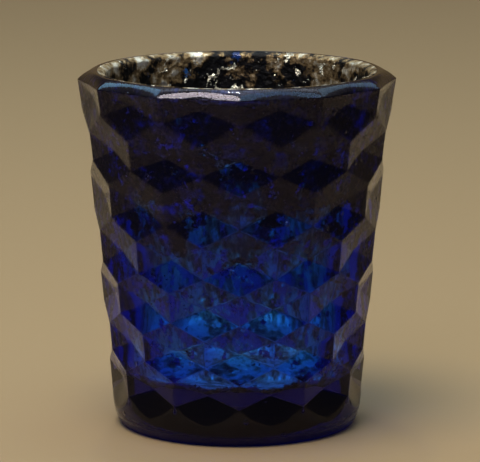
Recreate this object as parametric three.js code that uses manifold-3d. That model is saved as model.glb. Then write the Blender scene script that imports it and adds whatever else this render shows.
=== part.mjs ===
// Faceted votive candle cup: pressed blue glass with an antiqued silver coat on its inside.
// Millimetres, +Z up. The cup stands on z = 0 and is centred on the Z axis.
import * as THREE from "three";
import { mergeVertices } from "three/addons/utils/BufferGeometryUtils.js";
import Module from "manifold-3d";

// Outside, measured over the ridges between the facets.
const HEIGHT = 84.7;
const RIM_EDGE_RADIUS = 37.7; // widest point, at the lower edge of the rim's bevel
const RIM_EDGE_Z = 82.5;
const RIM_CREST_RADIUS = 33.8;
const NECK_RADIUS = 35.5; // where the straight taper ends and the rim starts to flare
const NECK_Z = 68;
const HEEL_TOP_RADIUS = 29.8;
const HEEL_TOP_Z = 7.5;
const FOOT_RADIUS = 26.8; // the flat ring and disc that the cup stands on

// Inside.
const MOUTH_RADIUS = 31.2;
const MOUTH_Z = 83.4;
const FLOOR_RADIUS = 24.6;
const FLOOR_Z = 12.5;
const FLOOR_FILLET = 3;

// Honeycomb of sunk facets: staggered rows of pointed hexagons all round the wall.
const COLUMNS = 12;
// Lowest point of each row's cells, from the top row down.
const ROW_TIPS = [71.6, 60.4, 47.9, 36.4, 25.5, 15.1, 5.1];
const TOP_ROW_HEIGHT = 12.6; // pitch above the top row, which the rim cuts short
const TIP_RISE = 4; // from a cell's lowest point up to its lower side corners
const CELL_DEPTH = 2.2; // how far a cell's centre lies inside the ridges
const RIDGE_SHARE = 0.04; // part of each cell's half width left as the land along a ridge
const FACET_TURN = THREE.MathUtils.degToRad(1);
const CUTTER_REACH = 4; // a cell's cutter runs this many times as far out as the ridges, clear of the wall

// Silver coat, thickened so that it is a solid.
const COAT_GAP = 0.3;
const COAT_THICKNESS = 0.4;
const COAT_LIP_SHARE = 0.4; // how much of the lip's quarter round the coat covers, from the mouth up

const ROUND_SEGMENTS = 48;
const HEEL_STEPS = 4;
const FILLET_STEPS = 4;
const RIM_STEPS = 3;
const COAT_LIP_STEPS = 2;
const WELD_DISTANCE = 1e-4; // points closer than this are one point

const wasm = await Module();
wasm.setup();

// Points of a quarter round from one corner to another, leaving the first along the radius or along Z.
function quarterRound(from, to, steps, leaveAlongRadius) {
  const points = [];
  for (let i = 1; i <= steps; i++) {
    const angle = (i / steps) * (Math.PI / 2);
    const early = Math.sin(angle);
    const late = 1 - Math.cos(angle);
    const radial = leaveAlongRadius ? early : late;
    const axial = leaveAlongRadius ? late : early;
    points.push(
      new THREE.Vector2(from.x + (to.x - from.x) * radial, from.y + (to.y - from.y) * axial),
    );
  }
  return points;
}

// Radius of the ridges at a height, carried on in a straight line above the rim and below the heel.
function ridgeRadius(z) {
  const low = z < NECK_Z;
  const [z0, r0] = low ? [HEEL_TOP_Z, HEEL_TOP_RADIUS] : [NECK_Z, NECK_RADIUS];
  const [z1, r1] = low ? [NECK_Z, NECK_RADIUS] : [RIM_EDGE_Z, RIM_EDGE_RADIUS];
  return r0 + ((r1 - r0) * (z - z0)) / (z1 - z0);
}

// Radius of the bore at a height between the floor and the mouth.
function boreRadius(z) {
  return FLOOR_RADIUS + ((MOUTH_RADIUS - FLOOR_RADIUS) * (z - FLOOR_Z)) / (MOUTH_Z - FLOOR_Z);
}

// Inner outline from the axis along the floor and up the wall, moved inwards by an offset.
function innerOutline(offset, topZ) {
  const floor = FLOOR_Z + offset;
  const wallFoot = new THREE.Vector2(
    boreRadius(FLOOR_Z + FLOOR_FILLET) - offset,
    FLOOR_Z + FLOOR_FILLET,
  );
  const floorEdge = new THREE.Vector2(wallFoot.x - FLOOR_FILLET + offset, floor);
  return [
    new THREE.Vector2(0, floor),
    floorEdge,
    ...quarterRound(floorEdge, wallFoot, FILLET_STEPS, true),
    new THREE.Vector2(boreRadius(topZ) - offset, topZ),
  ];
}

// A closed outline turned round the Z axis. Angle 0 is the front, at -Y.
function turned(outline) {
  return new THREE.LatheGeometry(outline, ROUND_SEGMENTS).rotateX(Math.PI / 2);
}

function toSolid(geometry) {
  const bare = geometry.clone();
  bare.deleteAttribute("normal");
  bare.deleteAttribute("uv");
  const merged = mergeVertices(bare, WELD_DISTANCE);
  return new wasm.Manifold(
    new wasm.Mesh({
      numProp: 3,
      vertProperties: merged.attributes.position.array,
      triVerts: new Uint32Array(merged.index.array),
    }),
  );
}

function toGeometry(solid) {
  const mesh = solid.getMesh();
  const geometry = new THREE.BufferGeometry();
  geometry.setAttribute("position", new THREE.BufferAttribute(mesh.vertProperties, 3));
  geometry.setIndex(new THREE.BufferAttribute(mesh.triVerts, 1));
  geometry.computeVertexNormals();
  return geometry;
}

function onWall(radius, angle, z) {
  return new THREE.Vector3(radius * Math.sin(angle), -radius * Math.cos(angle), z);
}

// The six corners of a cell, from its top corner round to its upper left one.
function cellCorners(row, angle) {
  const half = Math.PI / COLUMNS;
  const lowTip = ROW_TIPS[row];
  const highSide = row === 0 ? lowTip + TOP_ROW_HEIGHT : ROW_TIPS[row - 1];
  const places = [
    [0, highSide + TIP_RISE],
    [half, highSide],
    [half, lowTip + TIP_RISE],
    [0, lowTip],
    [-half, lowTip + TIP_RISE],
    [-half, highSide],
  ];
  return places.map(([side, z]) => onWall(ridgeRadius(z), angle + side, z));
}

// A six-sided cone whose point is the cell's centre and whose edges run out through the cell's corners.
function cellCutter(row, angle) {
  const corners = cellCorners(row, angle);
  const middleZ = (corners[0].z + corners[3].z) / 2;
  const point = onWall(ridgeRadius(middleZ) - CELL_DEPTH, angle, middleZ);
  const cone = new THREE.ConeGeometry(1, 1, corners.length, 1).toNonIndexed();
  const position = cone.attributes.position;
  const lid = new THREE.Vector3();
  corners.forEach((corner) => lid.addScaledVector(corner, 1 / corners.length));
  const outward = (target) => point.clone().lerp(target, (1 - RIDGE_SHARE) * CUTTER_REACH);
  for (let i = 0; i < position.count; i++) {
    const [x, y, z] = [position.getX(i), position.getY(i), position.getZ(i)];
    const onBase = y < 0;
    const onEdge = x !== 0 || z !== 0;
    let place = point;
    if (onBase && !onEdge) place = outward(lid);
    else if (onBase) {
      const turn = Math.round(Math.atan2(x, z) / (Math.PI / 3));
      place = outward(corners[(turn + corners.length) % corners.length]);
    }
    position.setXYZ(i, place.x, place.y, place.z);
  }
  return toSolid(cone);
}

function glassOutline() {
  const foot = new THREE.Vector2(FOOT_RADIUS, 0);
  const heelTop = new THREE.Vector2(HEEL_TOP_RADIUS, HEEL_TOP_Z);
  const rimEdge = new THREE.Vector2(RIM_EDGE_RADIUS, RIM_EDGE_Z);
  const crest = new THREE.Vector2(RIM_CREST_RADIUS, HEIGHT);
  const inside = innerOutline(0, MOUTH_Z).reverse();
  const mouth = inside[0];
  return [
    new THREE.Vector2(0, 0),
    foot,
    ...quarterRound(foot, heelTop, HEEL_STEPS, true),
    new THREE.Vector2(NECK_RADIUS, NECK_Z),
    rimEdge,
    ...quarterRound(rimEdge, crest, RIM_STEPS, false),
    ...quarterRound(crest, mouth, RIM_STEPS, true),
    ...inside.slice(1),
  ];
}

function glassCup() {
  let body = toSolid(turned(glassOutline()));
  for (let row = 0; row < ROW_TIPS.length; row++) {
    const stagger = row % 2 === 0 ? 0.5 : 0;
    for (let column = 0; column < COLUMNS; column++) {
      const angle = FACET_TURN + ((column + stagger) * 2 * Math.PI) / COLUMNS;
      body = body.subtract(cellCutter(row, angle));
    }
  }
  const material = new THREE.MeshStandardMaterial({
    color: 0x0d2a66,
    roughness: 0.08,
    metalness: 0,
    transparent: true,
    opacity: 0.6,
  });
  const mesh = new THREE.Mesh(toGeometry(body), material);
  mesh.name = "glass_cup";
  return mesh;
}

// The coat's outline at an offset off the glass: the inside of the cup, then over the lip towards the crest.
function coatOutline(offset) {
  const points = innerOutline(offset, MOUTH_Z);
  for (let i = 1; i <= COAT_LIP_STEPS; i++) {
    const angle = (Math.PI / 2) * (1 - (COAT_LIP_SHARE * i) / COAT_LIP_STEPS);
    const lipWidth = RIM_CREST_RADIUS - MOUTH_RADIUS + offset;
    const lipRise = HEIGHT - MOUTH_Z + offset;
    points.push(
      new THREE.Vector2(
        RIM_CREST_RADIUS - lipWidth * Math.sin(angle),
        MOUTH_Z + lipRise * Math.cos(angle),
      ),
    );
  }
  return points;
}

function silverLining() {
  const outside = coatOutline(COAT_GAP);
  const inside = coatOutline(COAT_GAP + COAT_THICKNESS);
  const material = new THREE.MeshStandardMaterial({
    color: 0x8a7f6a,
    roughness: 0.35,
    metalness: 0.9,
  });
  const mesh = new THREE.Mesh(turned([...outside, ...inside.reverse()]), material);
  mesh.name = "silver_lining";
  return mesh;
}

const cup = new THREE.Group();
cup.name = "votive_cup";
cup.add(glassCup(), silverLining());

export default cup;
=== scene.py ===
import math

import bmesh
import bpy
import numpy as np
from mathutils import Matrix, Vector


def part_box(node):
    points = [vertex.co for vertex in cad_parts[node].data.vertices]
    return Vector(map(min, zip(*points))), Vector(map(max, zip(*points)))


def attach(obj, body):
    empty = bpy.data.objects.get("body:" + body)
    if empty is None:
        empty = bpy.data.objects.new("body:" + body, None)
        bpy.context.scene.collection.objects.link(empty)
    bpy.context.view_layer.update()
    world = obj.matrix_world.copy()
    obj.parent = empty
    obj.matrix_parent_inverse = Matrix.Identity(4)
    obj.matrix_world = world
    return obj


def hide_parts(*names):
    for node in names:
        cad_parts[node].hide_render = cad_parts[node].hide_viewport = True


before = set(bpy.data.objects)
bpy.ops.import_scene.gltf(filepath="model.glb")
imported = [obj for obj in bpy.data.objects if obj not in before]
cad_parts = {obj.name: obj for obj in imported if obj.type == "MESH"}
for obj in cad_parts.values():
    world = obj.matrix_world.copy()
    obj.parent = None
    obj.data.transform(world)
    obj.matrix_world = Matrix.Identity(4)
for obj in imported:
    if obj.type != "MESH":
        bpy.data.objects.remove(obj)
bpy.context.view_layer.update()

MM = 0.001

# Glass, outside, measured over the ridges between the facets
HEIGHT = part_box("glass_cup")[1].z
RIM_EDGE_RADIUS = 37.7 * MM
RIM_EDGE_Z = HEIGHT - 2.2 * MM
RIM_CREST_RADIUS = 33.8 * MM
BEVEL_ROUNDING = 1.8  # 1 is a straight bevel; above 1 it bulges and ends level at the crest
NECK_RADIUS = 35.5 * MM
NECK_Z = 68 * MM
HEEL_TOP_RADIUS = 29.8 * MM
HEEL_TOP_Z = 7.5 * MM
FOOT_RADIUS = 26.8 * MM

# Glass, inside
MOUTH_RADIUS = 31.2 * MM
MOUTH_Z = HEIGHT - 1.3 * MM
FLOOR_RADIUS = 24.6 * MM
FLOOR_Z = 12.5 * MM
FLOOR_FILLET = 3 * MM

# Honeycomb of sunk facets; the tips are the lowest point of each row's cells, from the top row down
COLUMNS = 12
ROW_TIPS = [z * MM for z in (71.6, 60.4, 47.9, 36.4, 25.5, 15.1, 5.1)]
TOP_ROW_HEIGHT = 12.6 * MM
TIP_RISE = 4 * MM
CELL_DEPTH = 2.2 * MM
FACET_TURN = math.radians(1)
RIDGE_ROUNDING = 0.025 * MM
VALLEY_ROUNDING = 0.02 * MM

# A cell cuts the wall only this far from its centre, and only with the sides that face outwards enough
CELL_REACH_ROUND = 0.45
CELL_REACH_UP = 14 * MM
LEAST_FACING = 0.05
UNCUT_RADIUS = 1.0  # stands for no cut: far outside the cup

# Slow swells of the pressed glass: share, number round the cup, rise in height for one radian, start
WAVINESS = 0.05 * MM
SWELLS = (
    (1.0, 2, math.inf, 0.9),
    (0.7, 5, 9 * MM, 2.0),
    (0.6, 3, -6 * MM, 0.0),
)

# Where the surfaces are divided; facets as shares of the way from one crease to the next
FACET_STEPS = (0.0, 0.02, 0.055, 0.12, 0.3, 0.5, 0.7, 0.88, 0.945, 0.98)
FOOT_RINGS = (0.35, 0.7, 0.9)
FLOOR_RINGS = (0.7, 0.35)
COAT_FLOOR_RINGS = (0.2, 0.4, 0.6, 0.8, 1.0)
HEEL_STEPS = 20
BEVEL_STEPS = 9
BEVEL_EASING = 0.7  # from 0, even steps, to 1, steps that are closest together at both ends
ROUND_STEPS = 8
BORE_STEPS = 26
COAT_WALL_STEPS = 50
COAT_LIP_STEPS = 9
WELD_DISTANCE = 0.001 * MM

# Silver film: its two sides, and how much of the lip's quarter round it covers
COAT_INTO_GLASS = 0.03 * MM
COAT_OFF_GLASS = 0.12 * MM
COAT_LIP_SHARE = 0.80

# Blue glass. Stops are pairs of an input and the output there.
GLASS_SURFACE_TINT = (0.90, 0.82, 1.0, 1)
GLASS_TRANSMISSION = 0.993  # the rest scatters light, as a faint veil of dust and scuffs
GLASS_IOR = 1.45
GLASS_REFLECTION_TINT = (0.82, 0.78, 1.0, 1)
GLASS_DEPTH_TINT = (0.0, 0.65, 0.966, 1)
GLASS_DEPTH_DENSITY = 900
GLASS_LAMPLIGHT_TINT = (0.92, 0.92, 0.92, 1)
LAMPLIGHT_STOPS = ((9 * MM, 0.0), (15 * MM, 1.0))  # height, share of lamplight let straight through
GROUND_FOOT_STOPS = ((0.8 * MM, 0.45), (4.0 * MM, 0.0))  # height, roughness
HAZE_STOPS = ((0.40, 0.02), (0.65, 0.09))  # noise, roughness
BLISTER_STOPS = ((0.045, 1.0), (0.10, 0.0))  # distance from a blister's middle, relief
WAVE_RELIEF = 0.17
GLASS_RELIEF_STRENGTH = 1.0
GLASS_RELIEF_DEPTH = 0.25 * MM

# Antiqued silver, from blackened to bright
TARNISH_STOPS = (
    (0.44, (0.008, 0.008, 0.010)),
    (0.475, (0.030, 0.024, 0.018)),
    (0.495, (0.14, 0.095, 0.048)),
    (0.56, (0.31, 0.235, 0.13)),
    (0.66, (0.82, 0.80, 0.70)),
)
SILVER_METALLIC = 0.6
SILVER_ROUGHNESS_STOPS = ((0.40, 0.6), (0.62, 0.28))  # stains, roughness
FOIL_COLOUR = (0.95, 0.90, 0.74, 1)
FOIL_ROUGHNESS = (0.16, 0.16, 0.16, 1)
FOIL_STOPS = ((0.605, 0.0), (0.62, 1.0))  # noise, share of foil
FRECKLE_RELIEF = 1.4
FOIL_RELIEF = 4.0
SILVER_RELIEF_STRENGTH = 0.8
SILVER_RELIEF_DEPTH = 0.40 * MM

# How much brighter or darker the film is by place; by height and on the lip this is painted light and
# shade
# Painted light and shade: brighter low down, where lamplight lands on the floor and lower wall, and darker
# high on the wall
PAINTED_LIGHT_BY_HEIGHT_STOPS = ((24 * MM, 0.11), (68 * MM, -0.050))  # by height
# Painted highlight: the film on the lip is brighter, standing in for light from above on the bevel and rim
PAINTED_LIP_LIGHT_STOPS = ((80.5 * MM, 0.0), (83.2 * MM, 0.085))  # by height
BRIGHT_LEFT_STOPS = ((-16 * MM, 0.045), (-4 * MM, -0.05))  # by x, on the back of the wall
BRIGHT_RIGHT_STOPS = ((10 * MM, 0.0), (20 * MM, 0.055))  # by x, on the back of the wall
BACK_STOPS = ((4 * MM, 0.0), (12 * MM, 1.0))  # y, share of the back's brightness

# How much more or less of the film is worn away by place
BLOTCH_SHARE = 0.78
FRECKLE_SHARE = 0.22
WEAR_HEIGHT_STOPS = ((27 * MM, 0.022), (66 * MM, -0.090))  # by height
WEAR_FLOOR_STOPS = ((13.2 * MM, -0.20), (16 * MM, 0.0))  # by height
WEAR_FRONT_STOPS = ((-24 * MM, 0.11), (10 * MM, -0.03))  # by y, on the lower wall
LOWER_WALL_STOPS = ((42 * MM, 1.0), (80 * MM, 0.0))  # height, share of the front's wear
COVER_STOPS = ((0.475, 0.05), (0.49, 1.0))  # what the wear leaves, share of the glass covered

# Ground that the cup stands on
GROUND_RADIUS = 3.0
GROUND_SIDES = 96
GROUND_COLOUR = (0.322, 0.238, 0.138, 1)
GROUND_ROUGHNESS = 0.55

# Room, by the height of a direction from 0, level, to 1, straight up
BACKDROP_LOW = (0.20, 0.145, 0.075)
GROUND_GLOW = (0.09, 0.07, 0.045)
ROOM_DARK = (0.015, 0.013, 0.020)
ROOM_FRONT = (0.055, 0.052, 0.085)
CEILING_GLOW = (0.54, 0.54, 0.51)
BACK_OF_ROOM = ((0.20, BACKDROP_LOW), (0.40, ROOM_DARK), (0.44, ROOM_DARK), (0.66, CEILING_GLOW))
FRONT_OF_ROOM = ((0.0, GROUND_GLOW), (0.10, ROOM_FRONT), (0.55, ROOM_DARK), (0.78, CEILING_GLOW))
BACKWARD_STOPS = ((0.35, 0.0), (0.85, 1.0))  # how far a direction points along +Y, share of the back

# Lamps, all aimed at the middle of the cup: name, place, width, power in watts, colour
LAMPS = (
    ("ceiling", (0.02, 0.42, 1.15), 0.75, 1.6, (0.75, 0.90, 1.0)),
    ("cool_left", (-0.52, 0.58, 0.86), 0.45, 1.1, (0.35, 0.75, 1.0)),
    ("cool_top", (0.24, -0.10, 1.14), 0.50, 1.1, (0.38, 0.76, 1.0)),
    ("cool_right", (0.52, 0.58, 0.86), 0.45, 0.5, (0.40, 0.76, 1.0)),
    ("spark", (-0.09, 0.42, 1.20), 0.06, 0.9, (1.0, 0.95, 0.88)),
    ("key", (-0.18, -0.24, 1.05), 0.55, 8.0, (1.0, 0.93, 0.79)),
    ("fill", (-0.35, -0.85, 0.95), 0.60, 2.5, (0.86, 0.84, 1.0)),
)

# Camera
CAMERA_DISTANCE = 0.800
CAMERA_HEIGHT = 0.1942
CAMERA_TILT = math.radians(10.5)
CAMERA_PAN = math.radians(-0.05)
CAMERA_LENS = 256.5
CAMERA_SENSOR = 36
CAMERA_NEAREST = 0.05
CAMERA_FURTHEST = 20


def ridge_radius(z):
    """Radius of the ridges at a height, in a straight line past the rim and the heel."""
    lower = HEEL_TOP_RADIUS + (NECK_RADIUS - HEEL_TOP_RADIUS) * (z - HEEL_TOP_Z) / (NECK_Z - HEEL_TOP_Z)
    upper = NECK_RADIUS + (RIM_EDGE_RADIUS - NECK_RADIUS) * (z - NECK_Z) / (RIM_EDGE_Z - NECK_Z)
    return np.where(z < NECK_Z, lower, upper)


def outline_radius(z):
    """Radius of the plain turned body that the facets are sunk into: the ridges, with a rounded heel."""
    down = np.clip(1 - z / HEEL_TOP_Z, 0, 1)
    heel = FOOT_RADIUS + (HEEL_TOP_RADIUS - FOOT_RADIUS) * np.sqrt(1 - down**2)
    return np.where(z < HEEL_TOP_Z, heel, ridge_radius(z))


def bore_radius(z):
    return FLOOR_RADIUS + (MOUTH_RADIUS - FLOOR_RADIUS) * (z - FLOOR_Z) / (MOUTH_Z - FLOOR_Z)


def on_wall(radius, angle, z):
    """Points at an angle from the front, stacked along the last axis."""
    radius, angle, z = np.broadcast_arrays(radius, angle, z)
    return np.stack([radius * np.sin(angle), -radius * np.cos(angle), z], axis=-1)


def cell_angle(row, column):
    stagger = 0.5 if row % 2 == 0 else 0.0
    return FACET_TURN + (column + stagger) * 2 * math.pi / COLUMNS


def cell_corners(row, angle):
    """The six corners of a cell, from its top corner round to its upper left one, and its sunk centre."""
    half = math.pi / COLUMNS
    low_tip = ROW_TIPS[row]
    high_side = ROW_TIPS[row - 1] if row else low_tip + TOP_ROW_HEIGHT
    low_side, high_tip = low_tip + TIP_RISE, high_side + TIP_RISE
    sides = np.array([0, half, half, 0, -half, -half]) + angle
    heights = np.array([high_tip, high_side, low_side, low_tip, low_side, high_side])
    middle = np.array((high_tip + low_tip) / 2)
    point = on_wall(ridge_radius(middle) - CELL_DEPTH, angle, middle)
    return on_wall(ridge_radius(heights), sides, heights), point


def cell_planes(row, column):
    """The point of one sunk cell and the outward unit normals of its six sides."""
    angle = cell_angle(row, column)
    corners, point = cell_corners(row, angle)
    arms = corners - point
    normals = np.cross(arms, np.roll(arms, -1, axis=0))
    normals /= np.linalg.norm(normals, axis=1, keepdims=True)
    outward = on_wall(1.0, angle, 0.0)
    return point, np.where((normals @ outward)[:, None] < 0, -normals, normals)


def soft_extreme(values, width):
    """The largest of each point's values, rounded over a width; a negative width gives the smallest."""
    sharp = values.max(axis=0) if width > 0 else values.min(axis=0)
    return sharp + width * np.log(np.exp((values - sharp) / width).sum(axis=0))


def turned_from(angle, middle):
    """How far each angle is turned from a middle one, the short way round."""
    return np.angle(np.exp(1j * (angle - middle)))


def waves(angle, z):
    """Slow swells of the pressed glass, which fade out on the heel."""
    swell = sum(share * np.sin(count * angle + z / rise + start) for share, count, rise, start in SWELLS)
    return WAVINESS * np.clip(z / HEEL_TOP_Z, 0, 1) * swell


def faceted_radius(angle, z):
    """Radius of the outside at each angle and height: the turned body less every sunk cell."""
    surfaces = [outline_radius(z)]
    ray = on_wall(1.0, angle, 0.0)
    for row in range(len(ROW_TIPS)):
        for column in range(COLUMNS):
            turn = turned_from(angle, cell_angle(row, column))
            point, normals = cell_planes(row, column)
            near = (np.abs(turn) < CELL_REACH_ROUND) & (np.abs(z - point[2]) < CELL_REACH_UP)
            cut = np.full(angle.shape, UNCUT_RADIUS)
            facing = ray[near] @ normals.T
            offset = (normals @ point) - z[near][:, None] * normals[:, 2]
            radius = offset / np.maximum(facing, LEAST_FACING)
            sides = np.where(facing > LEAST_FACING, radius, UNCUT_RADIUS)
            cut[near] = soft_extreme(sides.T, VALLEY_ROUNDING)
            surfaces.append(cut)
    return soft_extreme(np.array(surfaces), -RIDGE_ROUNDING) + waves(angle, z)


def column_angles():
    half = math.pi / COLUMNS
    return FACET_TURN + (np.arange(2 * COLUMNS)[:, None] + FACET_STEPS).ravel() * half


def crease_height(start, end, turns):
    """Height at which a straight crease between two points passes each angle from the front."""
    across = np.stack([np.cos(turns), np.sin(turns)], axis=-1)
    share = -(across @ start[:2]) / (across @ (end - start)[:2])
    return start[2] + (end - start)[2] * share


def row_creases(row, angles):
    """Heights of a row's four zigzag creases: the ridge below, the two valleys and the ridge above."""
    corners, point = cell_corners(row, 0.0)
    high_tip, high_side, low_side, low_tip = corners[:4]
    turns = np.abs(turned_from(COLUMNS * angles, COLUMNS * cell_angle(row, 0))) / COLUMNS
    pairs = ((low_tip, low_side), (point, low_side), (point, high_side), (high_tip, high_side))
    return [np.minimum(crease_height(start, end, turns), RIM_EDGE_Z) for start, end in pairs]


def eased(count):
    """Fractions from 0 to 1, closer together at both ends."""
    even = np.linspace(0, 1, count + 1)
    return (1 - BEVEL_EASING) * even + BEVEL_EASING * (1 - np.cos(math.pi * even)) / 2


def quarter_turn(steps):
    return np.linspace(0, math.pi / 2, steps)


def glass_rings():
    """The glass as rings of points, from the middle of the foot up the outside and down the bore."""
    angles = column_angles()
    rings = []

    def add(radius, z):
        rings.append(on_wall(radius, angles, z))

    for share in FOOT_RINGS:
        add(FOOT_RADIUS * share, 0.0)
    lowest = row_creases(len(ROW_TIPS) - 1, angles)[0]
    for up in np.linspace(0, 1, HEEL_STEPS)[:-1]:
        z = lowest * up**2
        add(faceted_radius(angles, z), z)
    for row in reversed(range(len(ROW_TIPS))):
        creases = row_creases(row, angles)
        for below, above in zip(creases, creases[1:]):
            for up in FACET_STEPS:
                z = below + (above - below) * up
                add(faceted_radius(angles, z), z)
    edge = faceted_radius(angles, np.full(angles.shape, RIM_EDGE_Z))
    for along in eased(BEVEL_STEPS)[:-1]:
        z = RIM_EDGE_Z + (HEIGHT - RIM_EDGE_Z) * (1 - (1 - along) ** BEVEL_ROUNDING)
        add(edge + (RIM_CREST_RADIUS - edge) * along, z)
    for turn in quarter_turn(ROUND_STEPS):
        radius = RIM_CREST_RADIUS + (MOUTH_RADIUS - RIM_CREST_RADIUS) * math.sin(turn)
        add(radius, MOUTH_Z + (HEIGHT - MOUTH_Z) * math.cos(turn))
    fillet_top = FLOOR_Z + FLOOR_FILLET
    for z in np.linspace(MOUTH_Z, fillet_top, BORE_STEPS)[1:]:
        add(bore_radius(z), z)
    for turn in quarter_turn(ROUND_STEPS)[1:]:
        radius = bore_radius(fillet_top) - FLOOR_FILLET * (1 - math.cos(turn))
        add(radius, fillet_top - FLOOR_FILLET * math.sin(turn))
    for share in FLOOR_RINGS:
        add((bore_radius(fillet_top) - FLOOR_FILLET) * share, FLOOR_Z)
    return rings


def coat_line(offset):
    """Outline of one side of the film, an offset off the glass, from the floor up and over the lip."""
    fillet_top = FLOOR_Z + FLOOR_FILLET
    foot = bore_radius(fillet_top)
    line = [((foot - FLOOR_FILLET) * share, FLOOR_Z + offset) for share in COAT_FLOOR_RINGS]
    for turn in quarter_turn(ROUND_STEPS)[1:]:
        radius = foot - FLOOR_FILLET + (FLOOR_FILLET - offset) * math.sin(turn)
        line.append((radius, fillet_top - (FLOOR_FILLET - offset) * math.cos(turn)))
    wall = np.linspace(fillet_top, MOUTH_Z, COAT_WALL_STEPS)
    line += [(bore_radius(z) - offset, z) for z in wall[1:]]
    lip = np.linspace(math.pi / 2, math.pi / 2 * (1 - COAT_LIP_SHARE), COAT_LIP_STEPS)
    for turn in lip[1:]:
        radius = RIM_CREST_RADIUS - (RIM_CREST_RADIUS - MOUTH_RADIUS + offset) * math.sin(turn)
        line.append((radius, MOUTH_Z + (HEIGHT - MOUTH_Z + offset) * math.cos(turn)))
    return line


def mesh_of_rings(name, rings, first_pole, last_pole):
    """A closed mesh: rings of points joined in order, each end closed onto one point."""
    count = len(rings[0])
    points = np.vstack([*rings, [first_pole], [last_pole]])
    following = [(i + 1) % count for i in range(count)]
    faces = []
    for level in range(len(rings) - 1):
        low, high = level * count, (level + 1) * count
        faces += [(low + i, low + j, high + j, high + i) for i, j in enumerate(following)]
    top = (len(rings) - 1) * count
    start, end = len(rings) * count, len(rings) * count + 1
    faces += [(start, j, i) for i, j in enumerate(following)]
    faces += [(end, top + i, top + j) for i, j in enumerate(following)]
    mesh = bpy.data.meshes.new(name)
    mesh.from_pydata(points.tolist(), [], faces)
    shape = bmesh.new()
    shape.from_mesh(mesh)
    bmesh.ops.remove_doubles(shape, verts=shape.verts, dist=WELD_DISTANCE)
    shape.to_mesh(mesh)
    shape.free()
    mesh.polygons.foreach_set("use_smooth", [True] * len(mesh.polygons))
    mesh.update()
    piece = bpy.data.objects.new(name, mesh)
    bpy.context.scene.collection.objects.link(piece)
    return piece


def make_glass():
    glass = mesh_of_rings("blue_glass_cup", glass_rings(), (0, 0, 0), (0, 0, FLOOR_Z))
    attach(glass, "root")
    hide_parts("glass_cup")
    glass.data.materials.append(glass_material())


def make_coat():
    angles = column_angles()
    outer = [on_wall(radius, angles, z) for radius, z in coat_line(-COAT_INTO_GLASS)]
    inner = [on_wall(radius, angles, z) for radius, z in coat_line(COAT_OFF_GLASS)]
    coat = mesh_of_rings(
        "antique_silver_film",
        outer + inner[::-1],
        (0, 0, FLOOR_Z - COAT_INTO_GLASS),
        (0, 0, FLOOR_Z + COAT_OFF_GLASS),
    )
    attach(coat, "root")
    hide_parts("silver_lining")
    coat.data.materials.append(silver_material())


class Nodes:
    """Short calls for building one node tree over an object's places or the room's directions."""

    def __init__(self, tree, space):
        self.tree = tree
        self.place = self.add("ShaderNodeTexCoord").outputs[space]

    def add(self, kind, **settings):
        node = self.tree.nodes.new(kind)
        for key, value in settings.items():
            setattr(node, key, value)
        return node

    def set(self, socket, value):
        if isinstance(value, bpy.types.NodeSocket):
            self.tree.links.new(value, socket)
        else:
            socket.default_value = value

    def xyz(self):
        node = self.add("ShaderNodeSeparateXYZ")
        self.set(node.inputs[0], self.place)
        return node.outputs

    def noise(self, per_mm, detail=2.0, roughness=0.5, offset=(0, 0, 0)):
        moved = self.add("ShaderNodeMapping")
        self.set(moved.inputs["Vector"], self.place)
        self.set(moved.inputs["Location"], offset)
        node = self.add("ShaderNodeTexNoise")
        self.set(node.inputs["Vector"], moved.outputs[0])
        self.set(node.inputs["Scale"], per_mm / MM)
        self.set(node.inputs["Detail"], detail)
        self.set(node.inputs["Roughness"], roughness)
        return node.outputs["Fac"]

    def cells(self, per_mm):
        """Distance to the nearest of many scattered points, with a crease where two are as near."""
        node = self.add("ShaderNodeTexVoronoi")
        self.set(node.inputs["Vector"], self.place)
        self.set(node.inputs["Scale"], per_mm / MM)
        return node.outputs["Distance"]

    def ramp(self, value, stops):
        """A colour ramp from (position, colour) stops; a colour is a grey or three numbers."""
        node = self.add("ShaderNodeValToRGB")
        self.set(node.inputs["Fac"], value)
        elements = node.color_ramp.elements
        while len(elements) < len(stops):
            elements.new(1.0)
        for element, (position, colour) in zip(elements, stops):
            element.position = position
            element.color = (colour,) * 3 + (1,) if isinstance(colour, float) else (*colour, 1)
        return node.outputs["Color"]

    def ranged(self, value, stops):
        """Eases from one number to another between two (value, number) stops."""
        (low, at_low), (high, at_high) = stops
        node = self.add("ShaderNodeMapRange", interpolation_type="SMOOTHSTEP")
        for socket, number in zip(node.inputs[1:5], (low, high, at_low, at_high)):
            socket.default_value = number
        self.set(node.inputs[0], value)
        return node.outputs[0]

    def maths(self, operation, first, second):
        node = self.add("ShaderNodeMath", operation=operation)
        self.set(node.inputs[0], first)
        self.set(node.inputs[1], second)
        return node.outputs[0]

    def mix(self, factor, first, second):
        node = self.add("ShaderNodeMix", data_type="RGBA")
        self.set(node.inputs[0], factor)
        self.set(node.inputs[6], first)
        self.set(node.inputs[7], second)
        return node.outputs[2]

    def bump(self, height, strength, distance):
        node = self.add("ShaderNodeBump")
        self.set(node.inputs["Height"], height)
        self.set(node.inputs["Strength"], strength)
        self.set(node.inputs["Distance"], distance)
        return node.outputs["Normal"]

    def mix_shaders(self, factor, first, second):
        node = self.add("ShaderNodeMixShader")
        for socket, source in zip(node.inputs, (factor, first, second)):
            self.set(socket, source)
        return node.outputs[0]

    def output(self, surface):
        node = self.add("ShaderNodeOutputMaterial")
        self.set(node.inputs["Surface"], surface)
        return node


def new_material(name):
    """An empty material and the calls that build it, in the object's own metres."""
    material = bpy.data.materials.new(name)
    material.use_nodes = True
    material.node_tree.nodes.clear()
    return material, Nodes(material.node_tree, "Object")


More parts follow.
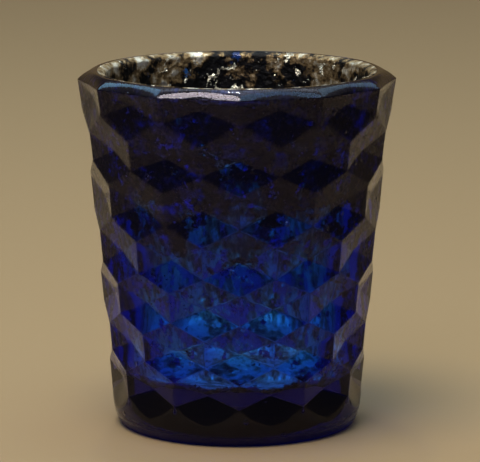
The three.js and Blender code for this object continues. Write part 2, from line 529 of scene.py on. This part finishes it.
def glass_material():
    """Cobalt-blue pressed glass: slow waves, a few small blisters, and a faint uneven haze."""
    material, n = new_material("blue_glass")
    shader = n.add("ShaderNodeBsdfPrincipled")
    shader.inputs["Base Color"].default_value = GLASS_SURFACE_TINT
    shader.inputs["Transmission Weight"].default_value = GLASS_TRANSMISSION
    shader.inputs["IOR"].default_value = GLASS_IOR
    shader.inputs["Specular Tint"].default_value = GLASS_REFLECTION_TINT
    height = n.xyz()["Z"]

    # Hazy in patches, and ground dull round the foot.
    haze = n.ramp(n.noise(per_mm=0.12, detail=4, roughness=0.6, offset=(0.4, 0.2, 0.1)), HAZE_STOPS)
    ground_foot = n.ranged(height, GROUND_FOOT_STOPS)
    n.set(shader.inputs["Roughness"], n.maths("MAXIMUM", haze, ground_foot))

    blisters = n.ramp(n.cells(per_mm=0.15), BLISTER_STOPS)
    swells = n.maths("MULTIPLY", n.noise(per_mm=0.22, detail=2), WAVE_RELIEF)
    relief = n.maths("ADD", swells, blisters)
    n.set(shader.inputs["Normal"], n.bump(relief, GLASS_RELIEF_STRENGTH, GLASS_RELIEF_DEPTH))

    depth = n.add("ShaderNodeVolumeAbsorption")
    depth.inputs["Color"].default_value = GLASS_DEPTH_TINT
    depth.inputs["Density"].default_value = GLASS_DEPTH_DENSITY

    # Lamplight passes straight through the wall to the film behind it, tinted by the wall's depth.
    clear = n.add("ShaderNodeBsdfTransparent")
    clear.inputs["Color"].default_value = GLASS_LAMPLIGHT_TINT
    to_lamp = n.add("ShaderNodeLightPath").outputs["Is Shadow Ray"]
    let_through = n.maths("MULTIPLY", to_lamp, n.ranged(height, LAMPLIGHT_STOPS))
    out = n.output(n.mix_shaders(let_through, shader.outputs[0], clear.outputs[0]))
    n.set(out.inputs["Volume"], depth.outputs[0])
    return material


def silver_material():
    """Aged silvering: bright and browned patches of metal, foil flakes, worn and bare places, and painted
    light and shade by height and on the lip.
    """
    material, n = new_material("antique_silver")
    blotches = n.noise(per_mm=0.15, detail=6, roughness=0.62)
    stains = n.noise(per_mm=0.21, detail=7, roughness=0.66, offset=(0.1, 0.03, 0.07))
    freckles = n.noise(per_mm=0.8, detail=4, roughness=0.65, offset=(0.02, 0.09, 0.01))
    flakes = n.noise(per_mm=0.26, detail=5, roughness=0.7, offset=(0.05, 0.21, 0.13))
    foil = n.ramp(flakes, FOIL_STOPS)
    x, y, z = n.xyz()

    # Painted light makes it bright low down and on the lip, painted shade makes it darker high on the
    # wall, and it is darkest there in the middle of the back.
    brightness = n.maths("ADD", stains, n.ranged(z, PAINTED_LIGHT_BY_HEIGHT_STOPS))
    # Painted highlight on the lip
    brightness = n.maths("ADD", brightness, n.ranged(z, PAINTED_LIP_LIGHT_STOPS))
    by_side = n.maths("ADD", n.ranged(x, BRIGHT_LEFT_STOPS), n.ranged(x, BRIGHT_RIGHT_STOPS))
    at_back = n.maths("MULTIPLY", by_side, n.ranged(y, BACK_STOPS))
    brightness = n.maths("ADD", brightness, at_back)
    metal = n.add("ShaderNodeBsdfPrincipled")
    n.set(metal.inputs["Base Color"], n.mix(foil, n.ramp(brightness, TARNISH_STOPS), FOIL_COLOUR))
    metal.inputs["Metallic"].default_value = SILVER_METALLIC
    dull = n.ramp(stains, SILVER_ROUGHNESS_STOPS)
    n.set(metal.inputs["Roughness"], n.mix(foil, dull, FOIL_ROUGHNESS))

    crumple = n.maths("ADD", n.cells(per_mm=0.55), n.maths("MULTIPLY", freckles, FRECKLE_RELIEF))
    creases = n.maths("MULTIPLY", foil, n.noise(per_mm=1.4, detail=1, offset=(0.3, 0.1, 0.2)))
    relief = n.maths("ADD", crumple, n.maths("MULTIPLY", creases, FOIL_RELIEF))
    n.set(metal.inputs["Normal"], n.bump(relief, SILVER_RELIEF_STRENGTH, SILVER_RELIEF_DEPTH))

    # Worn through on the lower wall, most of all at the front, hardly by the mouth and not on the floor.
    uneven = n.maths(
        "ADD",
        n.maths("MULTIPLY", blotches, BLOTCH_SHARE),
        n.maths("MULTIPLY", freckles, FRECKLE_SHARE),
    )
    at_front = n.maths("MULTIPLY", n.ranged(z, LOWER_WALL_STOPS), n.ranged(y, WEAR_FRONT_STOPS))
    wall_wear = n.maths("ADD", n.ranged(z, WEAR_HEIGHT_STOPS), at_front)
    wear = n.maths("ADD", wall_wear, n.ranged(z, WEAR_FLOOR_STOPS))
    cover = n.ramp(n.maths("SUBTRACT", uneven, wear), COVER_STOPS)
    gone = n.add("ShaderNodeBsdfTransparent")
    n.output(n.mix_shaders(n.maths("MAXIMUM", cover, foil), gone.outputs[0], metal.outputs[0]))
    return material


def make_floor():
    bpy.ops.mesh.primitive_circle_add(vertices=GROUND_SIDES, radius=GROUND_RADIUS, fill_type="NGON")
    floor = bpy.context.object
    floor.name = "floor"
    material, n = new_material("pale_floor")
    shader = n.add("ShaderNodeBsdfPrincipled")
    shader.inputs["Base Color"].default_value = GROUND_COLOUR
    shader.inputs["Roughness"].default_value = GROUND_ROUGHNESS
    n.output(shader.outputs[0])
    floor.data.materials.append(material)


def make_world():
    """A dim room under a pale ceiling, warm low down behind the cup and faintly blue in front of it."""
    world = bpy.data.worlds.new("room")
    bpy.context.scene.world = world
    world.use_nodes = True
    n = Nodes(world.node_tree, "Generated")
    direction = n.xyz()
    back = n.ramp(direction["Z"], BACK_OF_ROOM)
    front = n.ramp(direction["Z"], FRONT_OF_ROOM)
    room = n.mix(n.ramp(direction["Y"], BACKWARD_STOPS), front, back)
    n.set(world.node_tree.nodes["Background"].inputs["Color"], room)


def make_lamps():
    middle = Vector((0, 0, HEIGHT / 2))
    for name, place, width, power, colour in LAMPS:
        data = bpy.data.lights.new(name, "AREA")
        data.shape = "DISK"
        data.size = width
        data.energy = power
        data.color = colour
        lamp = bpy.data.objects.new(name, data)
        lamp.location = place
        lamp.rotation_euler = (middle - Vector(place)).to_track_quat("-Z", "Y").to_euler()
        bpy.context.scene.collection.objects.link(lamp)


def make_camera():
    data = bpy.data.cameras.new("camera")
    data.lens = CAMERA_LENS
    data.sensor_width = CAMERA_SENSOR
    data.clip_start = CAMERA_NEAREST
    data.clip_end = CAMERA_FURTHEST
    camera = bpy.data.objects.new("camera", data)
    camera.location = (0, -CAMERA_DISTANCE, CAMERA_HEIGHT)
    camera.rotation_euler = (math.pi / 2 - CAMERA_TILT, 0, CAMERA_PAN)
    bpy.context.scene.collection.objects.link(camera)
    bpy.context.scene.camera = camera


make_camera()
make_world()
make_lamps()
make_floor()
make_glass()
make_coat()
bpy.context.scene.view_settings.view_transform = "Standard"
bpy.context.scene.view_settings.look = "Medium High Contrast"
